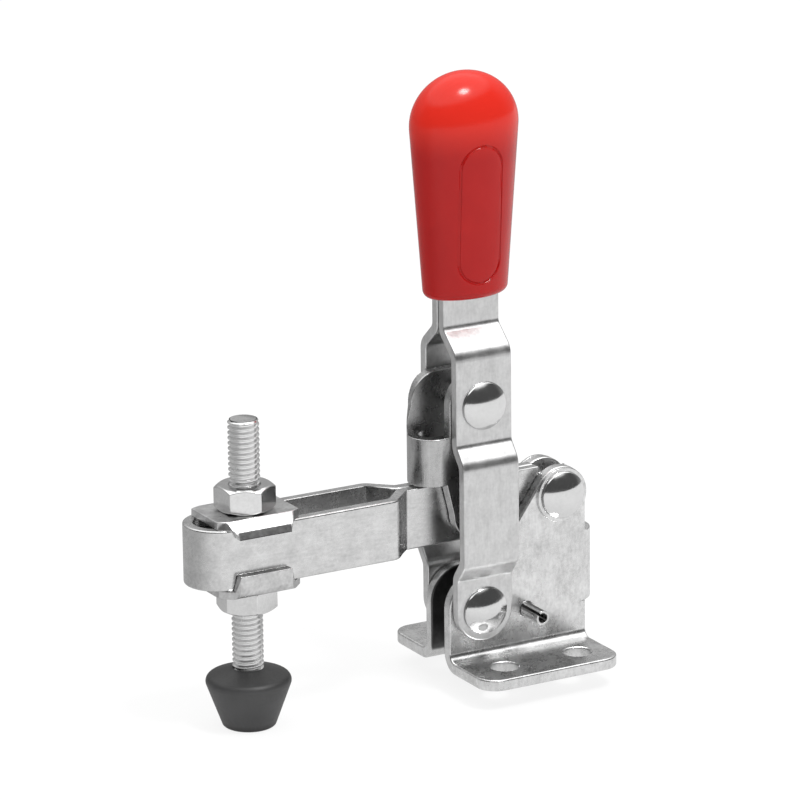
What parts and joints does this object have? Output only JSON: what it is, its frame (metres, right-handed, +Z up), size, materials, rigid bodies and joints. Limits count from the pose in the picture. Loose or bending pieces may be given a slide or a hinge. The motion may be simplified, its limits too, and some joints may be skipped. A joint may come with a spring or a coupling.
{
  "type": "toggle clamp",
  "caption": "Vertical-handle toggle clamp with a folded flanged base, a slotted arm, an adjustable rubber-tipped spindle and a red grip.",
  "frame": {"origin": "centre of the four base bolt holes, on the underside of the base", "axes": "+X forward along the arm to the spindle, +Y to the clamp's left side, +Z up, with the clamp closed"},
  "size_m": [0.0857, 0.0372, 0.1188],
  "materials": {
    "plated_sheet": "satin plate, faintly mottled and brushed",
    "rivet": "polished plate",
    "fastener": "bright zinc plate",
    "spring_pin": "plain spring steel",
    "grip": "semi-gloss red vinyl",
    "rubber": "matte black rubber"
  },
  "bodies": {
    "base": {"base_bracket": "plated_sheet", "stop_pin": "spring_pin", "arm_pivot_rivet": "rivet", "pivot_washer_left": "plated_sheet", "pivot_washer_right": "plated_sheet"},
    "handle": {"handle_plate_left": "plated_sheet", "handle_plate_right": "plated_sheet", "grip": "grip", "lower_pivot_rivet": "rivet", "upper_pivot_rivet": "rivet"},
    "link": {"link": "plated_sheet", "drive_pivot_rivet": "rivet"},
    "arm": {"clamp_arm": "plated_sheet"},
    "spindle_carrier": {"upper_flanged_washer": "plated_sheet", "lower_flanged_washer": "plated_sheet", "upper_nut": "fastener", "lower_nut": "fastener"},
    "spindle": {"spindle": "fastener", "rubber_cap": "rubber"}
  },
  "joints": [
    {"name": "handle_pivot", "type": "hinge", "parent": "base", "child": "handle", "pos_m": [0.009, 0, 0.012], "axis": [0, -1, 0], "range_deg": [0, 58]},
    {"name": "link_pivot", "type": "hinge", "parent": "handle", "child": "link", "pos_m": [0.009, 0, 0.0522], "axis": [0, -1, 0], "range_deg": [0, 80.67]},
    {"name": "arm_pivot", "type": "hinge", "parent": "link", "child": "arm", "pos_m": [0.009, 0, 0.0309], "axis": [0, -1, 0], "range_deg": [-40.64, 0]},
    {"name": "spindle_position", "type": "slide", "parent": "arm", "child": "spindle_carrier", "axis": [1, 0, 0], "range_m": [-0.025, 0.006]},
    {"name": "spindle_height", "type": "slide", "parent": "spindle_carrier", "child": "spindle", "axis": [0, 0, 1], "range_m": [-0.01, 0.009]}
  ],
  "couplings": [
    {"joint": "link_pivot", "follows": "handle_pivot", "ratio": 1.3906},
    {"joint": "arm_pivot", "follows": "handle_pivot", "ratio": -0.70034}
  ]
}
